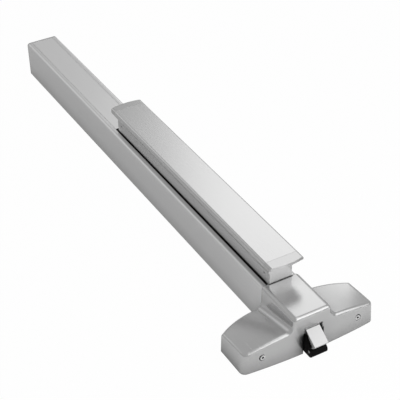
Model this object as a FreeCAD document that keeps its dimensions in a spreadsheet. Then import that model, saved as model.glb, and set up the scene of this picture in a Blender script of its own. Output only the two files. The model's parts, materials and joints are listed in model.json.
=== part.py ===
import FreeCAD, Part
import math
import os
import Sketcher

# Rim exit device, lying on its back: a latch head, a channel rail and a sprung push bar.
# X runs along the device and is positive towards the latch, Y is across it, and Z points
# away from the door. The origin is the centre of the head's four mounting holes, on the
# door plane. All lengths are in millimetres.

DRIVING_SIZES = {
    # whole device
    "device_length": 838.2,
    "head_front": 38.0,
    "head_depth": 78.5,
    # rail and what closes it
    "rail_width": 54.0,
    "rail_height": 59.0,
    "rail_wall": 2.2,
    "rail_floor": 3.0,
    "rail_slot": 37.0,
    "lip_thickness": 3.0,
    "rail_corner": 4.5,
    "rail_entry": 12.5,
    "end_cap_thickness": 3.0,
    "end_cap_skirt": 8.0,
    "filler_thickness": 2.7,
    "filler_flange": 5.0,
    "end_hole_radius": 2.8,
    "end_hole_spacing": 25.4,
    "end_hole_inset": 15.6,
    "end_bracket_length": 50.0,
    "end_screw_spread": 24.0,
    # push bar
    "bar_top": 100.5,
    "bar_top_width": 45.0,
    "bar_width": 51.0,
    "bar_edge_round": 3.6,
    "bar_edge_depth": 7.1,
    "bar_flare_depth": 21.6,
    "bar_wall": 2.0,
    "bar_web": 2.8,
    "neck_width": 34.0,
    "neck_bottom": 47.0,
    "bar_length": 453.5,
    "bar_nose_setback": 58.5,
    "front_cap_length": 16.7,
    "rear_cap_length": 14.7,
    "front_cap_overhang": 16.3,
    "rear_cap_overhang": 6.2,
    "cap_bow": 3.4,
    "cap_chin": 4.4,
    "cap_joint_slant": 9.2,
    "cap_plug_length": 12.0,
    # bar motion and linkage
    "bar_travel": 15.5,
    "bolt_travel": 20.5,
    "bar_arm": 26.0,
    "front_crank_inset": 89.5,
    "rear_crank_inset": 54.0,
    "pivot_pin_radius": 3.0,
    "link_pin_radius": 2.5,
    "arm_end_radius": 5.4,
    "crank_plate": 3.0,
    "rod_width": 5.0,
    "rod_height": 12.4,
    "base_plate": 2.5,
    "crank_bracket_length": 60.0,
    "lug_length": 20.0,
    "lug_plate": 2.0,
    "spring_stop_setback": 35.0,
    "spring_length": 70.0,
    "spring_radius": 7.9,
    "spring_wire": 1.6,
    "collar_length": 8.0,
    "collar_radius": 8.9,
    "rubber_length": 12.4,
    "rubber_radius": 5.0,
    # head
    "head_width": 200.0,
    "front_bow": 5.5,
    "side_lean": 3.0,
    "rear_sweep_radius": 130.0,
    "rear_flat_half": 30.0,
    "cover_wall": 2.2,
    "ridge_width": 57.4,
    "ridge_wall": 1.5,
    "ridge_height": 62.5,
    "ridge_edge_round": 6.5,
    "ridge_foot_round": 9.5,
    "cover_edge_round": 4.5,
    "cover_corner_round": 8.0,
    "wing_front_height": 46.6,
    "wing_front_crown": 19.6,
    "wing_middle_height": 37.2,
    "wing_middle_crown": 9.4,
    "wing_rear_height": 25.6,
    "wing_rear_crown": 0.8,
    "chassis_plate": 3.0,
    "mount_spacing_long": 38.1,
    "mount_spacing_wide": 114.3,
    "mount_hole_radius": 3.3,
    "cover_screw_spread": 144.0,
    "cover_screw_height": 20.0,
    # latch
    "bolt_width": 20.4,
    "bolt_top": 39.2,
    "bolt_bottom": 16.4,
    "bolt_reach": 20.8,
    "bolt_tip_height": 25.5,
    "bolt_tip_thickness": 1.4,
    "bolt_tip_undercut": 8.0,
    "snubber_width": 24.2,
    "snubber_reach": 17.6,
    "snubber_cheek_rise": 11.6,
    "snubber_travel": 16.0,
    "guide_wall": 2.5,
    "guide_foot": 10.5,
    "slot_relief": 3.4,
    # small screws
    "screw_hole_radius": 1.95,
    "screw_shank_radius": 1.9,
    "screw_head_radius": 3.4,
    "screw_head_height": 2.2,
    # running gaps
    "seat_gap": 0.3,
    "pin_gap": 0.05,
    "slot_play": 0.15,
}

doc = FreeCAD.newDocument("RimExitDevice")
sheet = doc.addObject("Spreadsheet::Sheet", "Sizes")


def number_of(value):
    return value.number if isinstance(value, Size) else float(value)


def formula_of(value):
    return value.formula if isinstance(value, Size) else "(" + repr(float(value)) + ")"


class Size:
    """A length that knows its number and the sheet formula that gives it."""

    def __init__(self, number, formula):
        self.number = number
        self.formula = formula

    def __add__(self, other):
        return Size(self.number + number_of(other), f"({self.formula} + {formula_of(other)})")

    def __radd__(self, other):
        return Size(number_of(other) + self.number, f"({formula_of(other)} + {self.formula})")

    def __sub__(self, other):
        return Size(self.number - number_of(other), f"({self.formula} - {formula_of(other)})")

    def __rsub__(self, other):
        return Size(number_of(other) - self.number, f"({formula_of(other)} - {self.formula})")

    def __mul__(self, other):
        return Size(self.number * number_of(other), f"({self.formula} * {formula_of(other)})")

    __rmul__ = __mul__

    def __truediv__(self, other):
        return Size(self.number / number_of(other), f"({self.formula} / {formula_of(other)})")

    def __neg__(self):
        return Size(-self.number, f"(0 - {self.formula})")

    def root(self):
        return Size(math.sqrt(self.number), f"sqrt({self.formula})")


for row, (name, value) in enumerate(DRIVING_SIZES.items(), start=1):
    sheet.set(f"A{row}", name)
    sheet.set(f"B{row}", str(value))
    sheet.setAlias(f"B{row}", name)
doc.recompute()


def size(name):
    return Size(float(sheet.get(name)), "Sizes." + name)


def plain(number):
    """A length of its own that no driving size changes."""
    return Size(float(number), repr(float(number)))


def bind(item, path, value):
    item.setExpression(path, formula_of(value))


# Sketching and feature helpers


def origin_plane(body, role):
    return next(item for item in body.Origin.OriginFeatures if item.Role == role)


def new_body(label):
    body = doc.addObject("PartDesign::Body", label)
    body.Label = label
    return body


def new_sketch(body, role, offset):
    sketch = body.newObject("Sketcher::SketchObject", body.Name + "_sketch")
    sketch.AttachmentSupport = [(origin_plane(body, role), "")]
    sketch.MapMode = "FlatFace"
    bind(sketch, "AttachmentOffset.Base.z", offset)
    return sketch


def place_point(sketch, geometry, end, across, up):
    for kind, value in (("DistanceX", across), ("DistanceY", up)):
        constraint = Sketcher.Constraint(kind, -1, 1, geometry, end, number_of(value))
        index = sketch.addConstraint(constraint)
        if isinstance(value, Size):
            bind(sketch, f"Constraints[{index}]", value)


def hold_radius(sketch, geometry, radius):
    index = sketch.addConstraint(Sketcher.Constraint("Radius", geometry, number_of(radius)))
    if isinstance(radius, Size):
        bind(sketch, f"Constraints[{index}]", radius)


def minor_arc(start, finish, radius):
    """The arc under half a turn between two points, and whether it runs from start to finish."""
    middle = (start + finish) * 0.5
    chord = finish - start
    sideways = FreeCAD.Vector(-chord.y, chord.x, 0) / chord.Length
    rise = math.sqrt(max(radius ** 2 - (chord.Length / 2) ** 2, 0.0))
    centre = middle + sideways * (rise if radius > 0 else -rise)
    first, last = (start, finish) if radius > 0 else (finish, start)
    low = math.atan2(first.y - centre.y, first.x - centre.x)
    high = math.atan2(last.y - centre.y, last.x - centre.x)
    circle = Part.Circle(centre, FreeCAD.Vector(0, 0, 1), abs(radius))
    return Part.ArcOfCircle(circle, low, high)


def draw_loop(sketch, corners):
    """Close a loop. A corner is (across, up), or (across, up, radius) where an arc leads to it;
    the arc turns left for a positive radius and right for a negative one."""
    points = [FreeCAD.Vector(number_of(c[0]), number_of(c[1]), 0) for c in corners]
    ends = []
    for i, corner in enumerate(corners):
        start = points[i - 1]
        if len(corner) == 3:
            arc = minor_arc(start, points[i], number_of(corner[2]))
            index = sketch.addGeometry(arc, False)
            backwards = number_of(corner[2]) < 0
            ends.append((index, 2, 1) if backwards else (index, 1, 2))
            hold_radius(sketch, index, -corner[2] if backwards else corner[2])
        else:
            index = sketch.addGeometry(Part.LineSegment(start, points[i]), False)
            ends.append((index, 1, 2))
    for i, (index, first, last) in enumerate(ends):
        before = ends[i - 1]
        sketch.addConstraint(Sketcher.Constraint("Coincident", before[0], before[2], index, first))
        place_point(sketch, index, last, corners[i][0], corners[i][1])


def draw_circle(sketch, across, up, radius):
    centre = FreeCAD.Vector(number_of(across), number_of(up), 0)
    circle = Part.Circle(centre, FreeCAD.Vector(0, 0, 1), number_of(radius))
    index = sketch.addGeometry(circle, False)
    place_point(sketch, index, 3, across, up)
    hold_radius(sketch, index, radius)


def draw(sketch, shapes):
    for shape in shapes:
        if shape[0] == "circle":
            draw_circle(sketch, *shape[1:])
        else:
            draw_loop(sketch, shape)


def prism(kind, body, role, low, high, shapes):
    """A pad or pocket of the shapes, from low to high along the plane's own axis."""
    offset = -high if role == "XZ_Plane" else low
    sketch = new_sketch(body, role, offset)
    draw(sketch, shapes)
    before = body.Shape.Volume if body.Tip else 0.0
    feature = body.newObject("PartDesign::" + kind, body.Name + "_" + kind.lower())
    feature.Profile = sketch
    bind(feature, "Length", high - low)
    feature.Reversed = kind == "Pocket"
    sketch.Visibility = False
    doc.recompute()
    change = feature.Shape.Volume - before
    if (change <= 0) if kind == "Pad" else (change >= 0):
        raise RuntimeError(f"{feature.Name} of {body.Label} changed nothing")
    return feature


def pad(body, role, low, high, *shapes):
    return prism("Pad", body, role, low, high, shapes)


def pocket(body, role, low, high, *shapes):
    return prism("Pocket", body, role, low, high, shapes)


def round_edges(body, radius, chosen):
    """Fillet the edges of the body's last feature that the test picks out."""
    base = body.Tip
    names = [f"Edge{i + 1}" for i, edge in enumerate(base.Shape.Edges) if chosen(edge)]
    if not names:
        raise RuntimeError(f"no edge of {body.Label} to round")
    fillet = body.newObject("PartDesign::Fillet", body.Name + "_fillet")
    fillet.Base = (base, names)
    bind(fillet, "Radius", radius)
    doc.recompute()
    return fillet


def bevel_edges(body, width, chosen):
    """Chamfer the edges of the body's last feature that the test picks out."""
    base = body.Tip
    names = [f"Edge{i + 1}" for i, edge in enumerate(base.Shape.Edges) if chosen(edge)]
    if not names:
        raise RuntimeError(f"no edge of {body.Label} to bevel")
    chamfer = body.newObject("PartDesign::Chamfer", body.Name + "_chamfer")
    chamfer.Base = (base, names)
    bind(chamfer, "Size", width)
    doc.recompute()
    return chamfer


def runs_along(edge, axis):
    if len(edge.Vertexes) < 2:
        return False
    box = edge.BoundBox
    spans = {"x": box.XLength, "y": box.YLength, "z": box.ZLength}
    main = spans.pop(axis)
    return main > 0.5 and max(spans.values()) < 0.01


def near(value, target, reach=0.05):
    return abs(value - number_of(target)) < reach


def box_loop(left, right, bottom, top):
    return [(left, bottom), (right, bottom), (right, top), (left, top)]


def capsule(start, finish, length, radius):
    """A bar with round ends from one pin centre to another."""
    along = ((finish[0] - start[0]) / length, (finish[1] - start[1]) / length)
    side = (-along[1], along[0])

    def spot(centre, ahead, left):
        return (
            centre[0] + along[0] * radius * ahead + side[0] * radius * left,
            centre[1] + along[1] * radius * ahead + side[1] * radius * left,
        )

    return [
        spot(start, 0, -1) + (radius,),
        spot(finish, 0, -1),
        spot(finish, 1, 0) + (radius,),
        spot(finish, 0, 1) + (radius,),
        spot(start, 0, 1),
        spot(start, -1, 0) + (radius,),
    ]


# Fasteners and pins


def turn_to(direction):
    return FreeCAD.Rotation(FreeCAD.Vector(0, 0, 1), FreeCAD.Vector(*direction))


def set_place(item, x, y, z, direction=(0, 0, 1)):
    item.Placement = FreeCAD.Placement(FreeCAD.Vector(0, 0, 0), turn_to(direction))
    for axis, value in (("x", x), ("y", y), ("z", z)):
        bind(item, "Placement.Base." + axis, value)


def cylinder(name, radius, length, base=0.0):
    item = doc.addObject("Part::Cylinder", name)
    bind(item, "Radius", radius)
    bind(item, "Height", length)
    bind(item, "Placement.Base.z", base)
    return item


def hexagon(name, radius, length, base=0.0):
    item = doc.addObject("Part::Prism", name)
    item.Polygon = 6
    bind(item, "Circumradius", radius)
    bind(item, "Height", length)
    bind(item, "Placement.Base.z", base)
    return item


def hexagon_screw(name, spot, direction, shank_radius, shank_length, head_radius, head_height):
    """A hexagon screw whose head sits on the spot and whose shank points the other way."""
    item = doc.addObject("Part::Fuse", name)
    item.Base = hexagon(name + "_head", head_radius, head_height)
    item.Tool = cylinder(name + "_shank", shank_radius, shank_length, -1 * shank_length)
    set_place(item, *spot, direction)
    return item


def socket_screw(name, spot, direction, shank_radius, shank_length, head_radius, head_height):
    """A round headed screw with a hexagon socket, placed as the hexagon screw is."""
    shank = cylinder(name + "_shank", shank_radius, shank_length, -1 * shank_length)
    solid = doc.addObject("Part::Fuse", name + "_blank")
    solid.Base = cylinder(name + "_head", head_radius, head_height)
    solid.Tool = shank
    item = doc.addObject("Part::Cut", name)
    item.Base = solid
    item.Tool = hexagon(name + "_socket", head_radius * 0.45, head_height, head_height * 0.35)
    set_place(item, *spot, direction)
    return item


def group(label, items):
    compound = doc.addObject("Part::Compound", label)
    compound.Label = label
    compound.Links = items
    return compound


def screw_set(label, kind, spots, direction, shank_length, head_height):
    made = [
        kind(f"{label}_{i + 1}", spot, direction, screw_shank, shank_length, screw_head, head_height)
        for i, spot in enumerate(spots)
    ]
    return group(label, made)


def cross_pin(label, radius, reach, x, z):
    """A plain pin across the device, reaching as far each side of the centreline."""
    body = new_body(label)
    pad(body, "XZ_Plane", -reach, reach, ("circle", x, z, radius))
    return body


# Places worked out from the driving sizes

seat_gap = size("seat_gap")
pin_gap = size("pin_gap")
slot_play = size("slot_play")
zero = plain(0)
past = 1

screw_hole = size("screw_hole_radius")
screw_shank = size("screw_shank_radius")
screw_head = size("screw_head_radius")
head_clearance = 0.2
screw_short = 0.3

# head and rail

head_front = size("head_front")
head_half = size("head_width") / 2
cover_rear = head_front - size("head_depth")
cover_wall = size("cover_wall")
device_rear = head_front - size("device_length")
rail_rear = device_rear + size("end_cap_thickness")
rail_front = cover_rear + size("rail_entry")
rail_half = size("rail_width") / 2
rail_inner = rail_half - size("rail_wall")
rail_top = size("rail_height")
rail_floor = size("rail_floor")
rail_corner = size("rail_corner")
slot_half = size("rail_slot") / 2
lip_under = rail_top - size("lip_thickness")
end_hole_xs = [
    device_rear + size("end_hole_inset"),
    device_rear + size("end_hole_inset") + size("end_hole_spacing"),
]
cap_screw_ys = [side * size("end_screw_spread") / 2 for side in (-1, 1)]
cap_screw_z = rail_top / 2
cap_screw_sink = 1.6
sunk_head_height = 1.4

# push bar

bar_front = head_front - size("bar_nose_setback")
bar_rear = bar_front - size("bar_length")
bar_top = size("bar_top")
bar_half = size("bar_width") / 2
bar_wall = size("bar_wall")
bar_reach = bar_half + past
neck_half = size("neck_width") / 2
neck_bottom = size("neck_bottom")
web_under = bar_top - size("bar_web")
edge_low = bar_top - size("bar_edge_depth")
edge_break_in = 0.7
edge_break_drop = 1.7
flare_low = bar_top - size("bar_flare_depth")
bar_clearance = 1.3
neck_front = bar_front - size("front_cap_overhang")
neck_rear = bar_rear + size("rear_cap_overhang")
front_joint = bar_front - size("front_cap_length")
rear_joint = bar_rear + size("rear_cap_length")
joint_slant = size("cap_joint_slant")
joint_gap = 0.15
cap_pin_drop = 6.0
cap_pin_inset = 3.6
cap_pin_z = flare_low - cap_pin_drop
cap_pin_radius = plain(1.2)
cap_pin_xs = [front_joint - joint_slant - cap_pin_inset, rear_joint + cap_pin_inset]

# lug track inside the bar

track_leg = 2.0
track_ledge = 3.0
track_inner = neck_half - bar_wall
track_outer = track_inner + 0.4
flange_thickness = 2.4
flange_high = web_under - seat_gap
flange_low = flange_high - flange_thickness
track_seat = flange_low - seat_gap
track_bottom = track_seat - track_leg

# linkage

plate = size("base_plate")
base_top = rail_floor + plate
rod_clearance = 0.8
rod_half_height = size("rod_height") / 2
rod_half_width = size("rod_width") / 2
rod_z = base_top + rod_clearance + rod_half_height
pivot_radius = size("pivot_pin_radius")
link_radius = size("link_pin_radius")
arm_radius = size("arm_end_radius")
bar_arm = size("bar_arm")
rod_arm = bar_arm * size("bolt_travel") / size("bar_travel")
swing_sine = size("bar_travel") / (2 * bar_arm)
swing_cosine = (1 - swing_sine * swing_sine).root()
pivot_z = rod_z + rod_arm * (1 + swing_cosine) / 2
crank_xs = {
    "front": bar_front - size("front_crank_inset"),
    "rear": bar_rear + size("rear_crank_inset"),
}
side_clearance = 0.5
crank_inner = rod_half_width + side_clearance
crank_outer = crank_inner + size("crank_plate")
lug_inner = crank_outer + side_clearance
lug_outer = lug_inner + size("lug_plate")
cheek_inner = lug_outer + 3 * side_clearance
cheek_outer = cheek_inner + plate


def link_pin_spot(pivot_x):
    return pivot_x + bar_arm * swing_cosine, pivot_z + bar_arm * swing_sine


def rod_pin_spot(pivot_x):
    return pivot_x + rod_arm * swing_sine, pivot_z - rod_arm * swing_cosine


# rod, spring and stops

rod_rear_margin = 8.0
rod_rear = rod_pin_spot(crank_xs["rear"])[0] - rod_rear_margin
rod_front = rail_front + 4
rod_end_pin_x = rod_front - 6
rod_end_pin_radius = plain(2.0)
spring_stop_x = (crank_xs["front"] + crank_xs["rear"]) / 2 - size("spring_stop_setback")
spring_stop_foot = 22.0
spring_length = size("spring_length")
spring_end_gap = 0.1
collar_length = size("collar_length")
collar_radius = size("collar_radius")
collar_x = spring_stop_x + spring_length + collar_length / 2
collar_pin_radius = plain(1.5)
rubber_front = rod_rear - size("bolt_travel") - seat_gap
stop_block_x = rubber_front - size("rubber_length")
stop_block_foot = 20.0

# chassis tongue on the rail's floor, and the screws through that floor

tongue_half_width = 20.0
tongue_rear_x = rail_front - 36
tongue_screw_y = 14.0
tongue_screw_spots = [(rail_front - 28, side * tongue_screw_y) for side in (-1, 1)]
bracket_half = size("crank_bracket_length") / 2
bracket_screw_inset = 6.0
bracket_screw_y = 7.0
stop_screw_setback = 14.0
stop_screw_spots = [(spring_stop_x - stop_screw_setback, y) for y in (-8.5, 8.5)]
block_screw_spots = [(stop_block_x - stop_screw_setback, y) for y in (-6.0, 6.0)]


def bracket_screw_spots(pivot_x):
    """Two screws on a slant, one at each end of the bracket's foot."""
    return [
        (pivot_x + side * (bracket_half - bracket_screw_inset), side * bracket_screw_y)
        for side in (-1, 1)
    ]


floor_screw_spots = (
    bracket_screw_spots(crank_xs["front"])
    + bracket_screw_spots(crank_xs["rear"])
    + stop_screw_spots
    + block_screw_spots
    + tongue_screw_spots
)

# latch head


def bow_x(y):
    """How far forward the front face stands at a distance from the centreline."""
    return head_front - size("front_bow") * y * y / (head_half * head_half)


ridge_half = size("ridge_width") / 2
ridge_top = size("ridge_height")
ridge_inner = ridge_half - size("ridge_wall")
ridge_under = rail_top + seat_gap
chassis_top = size("chassis_plate")
cover_screw_y = size("cover_screw_spread") / 2
cover_screw_z = size("cover_screw_height")
cover_screw_sink = 1.3
cover_screw_x = bow_x(cover_screw_y) - cover_screw_sink
ear_half = 10.0
ear_plate = 2.4
ear_rise = 8.0
ear_front = bow_x(cover_screw_y + ear_half) - cover_wall - seat_gap
ear_top = cover_screw_z + ear_rise

# latch bolt, its guide and the snubber under it

bolt_half = size("bolt_width") / 2
bolt_top = size("bolt_top")
bolt_bottom = size("bolt_bottom")
bolt_rear = rail_front + 32
bolt_tongue_rear = rail_front + 18
bolt_tongue_half = 2.5
bolt_tongue_rise = 6.5
bolt_pin_x = bolt_tongue_rear + 5.5
bolt_pin_z = (bolt_top + bolt_bottom) / 2
snubber_half = size("snubber_width") / 2
snubber_rear = head_front - 26
snubber_low = chassis_top + 0.4
snubber_top = bolt_bottom - 0.4
snubber_cheek_top = bolt_bottom + size("snubber_cheek_rise")
snubber_spring_room = 5.8
stop_wall = 2.2
stop_wall_x = snubber_rear - size("snubber_travel") - snubber_spring_room - stop_wall
guide_rear = rail_front + 10
guide_front = head_front - 7.5
guide_inner = snubber_half + side_clearance
guide_wall = size("guide_wall")
guide_outer = guide_inner + guide_wall
guide_foot = size("guide_foot")
guide_top = bolt_top + 0.5
slot_margin = 1.2
slot_head_room = 2.4
slot_step_room = 4.6
guide_spots = [
    (x, side * (guide_outer + guide_foot / 2)) for x, side in ((guide_rear + 6, -1), (guide_front - 7, 1))
]

# Rail, filler plate and far end


def make_rail():
    """Extruded channel with two lips along its open front."""
    body = new_body("rail")
    outline = [
        (-rail_half, zero),
        (rail_half, zero),
        (rail_half, rail_top),
        (slot_half, rail_top),
        (slot_half, lip_under),
        (rail_inner, lip_under),
        (rail_inner, rail_floor),
        (-rail_inner, rail_floor),
        (-rail_inner, lip_under),
        (-slot_half, lip_under),
        (-slot_half, rail_top),
        (-rail_half, rail_top),
    ]
    pad(body, "YZ_Plane", rail_rear, rail_front, outline)

    def outer_top(edge):
        box = edge.BoundBox
        return runs_along(edge, "x") and near(box.ZMax, rail_top) and near(abs(box.YMax), rail_half)

    def lip_edge(edge):
        box = edge.BoundBox
        return runs_along(edge, "x") and near(box.ZMax, rail_top) and near(abs(box.YMax), slot_half)

    round_edges(body, rail_corner, outer_top)
    round_edges(body, plain(0.8), lip_edge)
    holes = [("circle", x, y, screw_hole) for x, y in floor_screw_spots]
    holes += [("circle", x, zero, size("end_hole_radius")) for x in end_hole_xs]
    pocket(body, "XY_Plane", zero - past, rail_floor + past, *holes)
    return body


def make_filler_plate():
    """Plain strip that slides between the rail's lips, held by a wider flange below them."""
    body = new_body("filler_plate")
    slide_gap = 0.2
    slide_thickness = size("filler_thickness") - 0.8
    top = rail_top - seat_gap
    middle = lip_under - slide_gap
    low = middle - slide_thickness
    narrow = slot_half - slide_gap
    wide = slot_half + size("filler_flange")
    outline = [
        (-wide, low),
        (wide, low),
        (wide, middle),
        (narrow, middle),
        (narrow, top),
        (-narrow, top),
        (-narrow, middle),
        (-wide, middle),
    ]
    pad(body, "YZ_Plane", rail_rear + slide_gap / 2, bar_rear - bar_clearance, outline)
    return body


def make_rail_end_cap():
    """Flat cap with the rail's outline and a skirt that plugs its end."""
    body = new_body("rail_end_cap")
    face = [
        (-rail_half, zero),
        (rail_half, zero),
        (rail_half, rail_top - rail_corner),
        (rail_half - rail_corner, rail_top, rail_corner),
        (rail_corner - rail_half, rail_top),
        (-rail_half, rail_top - rail_corner, rail_corner),
    ]
    pad(body, "YZ_Plane", device_rear, rail_rear, face)
    skirt_half = rail_inner - seat_gap
    skirt_low = base_top + seat_gap
    skirt_high = lip_under - size("filler_thickness") - seat_gap
    skirt_wall = 2.0
    skirt_end = rail_rear + size("end_cap_skirt")
    skirt = [
        (-skirt_half, skirt_low),
        (skirt_wall - skirt_half, skirt_low),
        (skirt_wall - skirt_half, skirt_high - skirt_wall),
        (skirt_half - skirt_wall, skirt_high - skirt_wall),
        (skirt_half - skirt_wall, skirt_low),
        (skirt_half, skirt_low),
        (skirt_half, skirt_high),
        (-skirt_half, skirt_high),
    ]
    pad(body, "YZ_Plane", rail_rear, skirt_end, skirt)
    holes = [("circle", y, cap_screw_z, screw_hole) for y in cap_screw_ys]
    pocket(body, "YZ_Plane", device_rear, rail_rear, *holes)
    seats = [("circle", y, cap_screw_z, screw_head + head_clearance) for y in cap_screw_ys]
    pocket(body, "YZ_Plane", device_rear - past, device_rear + cap_screw_sink, *seats)
    return body


def make_end_bracket():
    """Folded angle inside the rail's far end: its foot takes the door screws."""
    body = new_body("end_bracket")
    half = 19.0
    back = rail_rear + 0.2
    front = back + size("end_bracket_length")
    high = cap_screw_z + 10
    profile = [
        (back, rail_floor),
        (front, rail_floor),
        (front, base_top),
        (back + plate, base_top),
        (back + plate, high),
        (back, high),
    ]
    pad(body, "XZ_Plane", plain(-half), plain(half), profile)

    def inside_bend(edge):
        box = edge.BoundBox
        return runs_along(edge, "y") and near(box.XMax, back + plate) and near(box.ZMax, base_top)

    def foot_corner(edge):
        return runs_along(edge, "z") and near(edge.BoundBox.XMax, front)

    round_edges(body, plain(2.0), inside_bend)
    round_edges(body, plain(6.0), foot_corner)
    door_holes = [("circle", x, zero, size("end_hole_radius")) for x in end_hole_xs]
    pocket(body, "XY_Plane", rail_floor - past, base_top + past, *door_holes)
    cap_holes = [("circle", y, cap_screw_z, screw_hole) for y in cap_screw_ys]
    pocket(body, "YZ_Plane", back - past, back + plate + past, *cap_holes)
    return body


# Linkage carriers inside the rail


def make_crank_bracket(label, pivot_x):
    """Folded channel whose two cheeks carry a crank's pivot pin."""
    body = new_body(label)
    top = pivot_z + 8
    left = pivot_x - bracket_half
    right = pivot_x + bracket_half
    channel = [
        (-cheek_outer, rail_floor),
        (cheek_outer, rail_floor),
        (cheek_outer, top),
        (cheek_inner, top),
        (cheek_inner, base_top),
        (-cheek_inner, base_top),
        (-cheek_inner, top),
        (-cheek_outer, top),
    ]
    pad(body, "YZ_Plane", left, right, channel)
    cheek_foot = bracket_half / 2
    cheek_crest = bracket_half / 4
    reach = cheek_outer + past
    rear_side = [
        (left - past, base_top),
        (pivot_x - cheek_foot, base_top),
        (pivot_x - cheek_crest, top + past),
        (left - past, top + past),
    ]
    front_side = [
        (pivot_x + cheek_foot, base_top),
        (right + past, base_top),
        (right + past, top + past),
        (pivot_x + cheek_crest, top + past),
    ]
    pocket(body, "XZ_Plane", -reach, reach, rear_side, front_side)

    def crest_corner(edge):
        return runs_along(edge, "y") and near(edge.BoundBox.ZMax, top)

    round_edges(body, plain(5.0), crest_corner)
    pocket(body, "XZ_Plane", -reach, reach, ("circle", pivot_x, pivot_z, pivot_radius))
    holes = [("circle", x, y, screw_hole) for x, y in bracket_screw_spots(pivot_x)]
    pocket(body, "XY_Plane", rail_floor - past, base_top + past, *holes)
    return body


def make_crank(label, pivot_x):
    """Bell crank: a long arm each side of the drive rod and a short arm each side under the bar."""
    body = new_body(label)
    pivot = (pivot_x, pivot_z)
    link = link_pin_spot(pivot_x)
    rod_pin = rod_pin_spot(pivot_x)
    hub_radius = arm_radius + 1.2
    hub_reach = cheek_inner - 0.4
    pad(body, "XZ_Plane", -hub_reach, hub_reach, ("circle", *pivot, hub_radius))
    for low, high in ((crank_inner, crank_outer), (-crank_outer, -crank_inner)):
        pad(body, "XZ_Plane", low, high, capsule(pivot, link, bar_arm, arm_radius))
        pad(body, "XZ_Plane", low, high, capsule(pivot, rod_pin, rod_arm, arm_radius))
    through = hub_reach + past
    pocket(body, "XZ_Plane", -through, through, ("circle", *pivot, pivot_radius + pin_gap))
    pocket(body, "XZ_Plane", -through, through, ("circle", *link, link_radius))
    pocket(body, "XZ_Plane", -through, through, ("circle", *rod_pin, link_radius))
    return body


def make_lug(label, pivot_x):
    """Folded hanger that slides in the bar's track; its slots take the crank's link pin."""
    body = new_body(label)
    pin_x, pin_z = link_pin_spot(pivot_x)
    drift = bar_arm * (1 - swing_cosine)
    middle_x = pin_x + drift / 2
    low = pin_z - arm_radius
    half = size("lug_length") / 2
    profile = [
        (-track_inner, flange_low),
        (-lug_outer, flange_low),
        (-lug_outer, low),
        (-lug_inner, low),
        (-lug_inner, flange_low),
        (lug_inner, flange_low),
        (lug_inner, low),
        (lug_outer, low),
        (lug_outer, flange_low),
        (track_inner, flange_low),
        (track_inner, flange_high),
        (-track_inner, flange_high),
    ]
    pad(body, "YZ_Plane", middle_x - half, middle_x + half, profile)
    through = lug_outer + past
    slot_radius = link_radius + slot_play
    slot = capsule((middle_x - drift / 2, pin_z), (middle_x + drift / 2, pin_z), drift, slot_radius)
    pocket(body, "XZ_Plane", -through, through, slot)

    def foot_corner(edge):
        return runs_along(edge, "y") and near(edge.BoundBox.ZMax, low)

    round_edges(body, plain(4.0), foot_corner)
    return body


# Push bar and its caps


def bar_outside(bottom):
    """The bar's outer outline from one foot of the neck over the top to the other."""
    shoulder = size("bar_edge_round")
    top_half = size("bar_top_width") / 2
    shoulder_low = bar_top - shoulder
    right = [
        (neck_half, bottom),
        (neck_half, flare_low),
        (bar_half - edge_break_in, edge_low - edge_break_drop),
        (bar_half, edge_low),
        (bar_half, shoulder_low),
        (top_half, bar_top, shoulder),
    ]
    left = [
        (-top_half, bar_top),
        (-bar_half, shoulder_low, shoulder),
        (-bar_half, edge_low),
        (edge_break_in - bar_half, edge_low - edge_break_drop),
        (-neck_half, flare_low),
        (-neck_half, bottom),
    ]
    return right + left


def make_push_bar():
    """Extruded bar: a wide face, flared flanks, a hollow neck and an inner track for the lugs."""
    body = new_body("push_bar")
    flank_inner = bar_half - 1.4 * bar_wall
    inside = [
        (neck_half - bar_wall, neck_bottom),
        (neck_half - bar_wall, flare_low),
        (flank_inner, edge_low),
        (flank_inner, web_under),
        (track_outer + track_leg, web_under),
        (track_outer + track_leg, track_bottom),
        (track_inner - track_ledge, track_bottom),
        (track_inner - track_ledge, track_seat),
        (track_outer, track_seat),
        (track_outer, web_under),
    ]
    left_inside = [(-across, up) for across, up in inside]
    outline = bar_outside(neck_bottom) + left_inside + inside[::-1]
    pad(body, "YZ_Plane", rear_joint, front_joint, outline)
    front_relief = [
        (front_joint + past, edge_low),
        (front_joint, edge_low),
        (front_joint - joint_slant, flare_low),
        (front_joint - joint_slant, neck_bottom - past),
        (front_joint + past, neck_bottom - past),
    ]
    pocket(body, "XZ_Plane", -bar_reach, bar_reach, front_relief)
    holes = [("circle", x, cap_pin_z, cap_pin_radius + 0.1) for x in cap_pin_xs]
    pocket(body, "XZ_Plane", -bar_reach, bar_reach, *holes)
    return body


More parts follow.
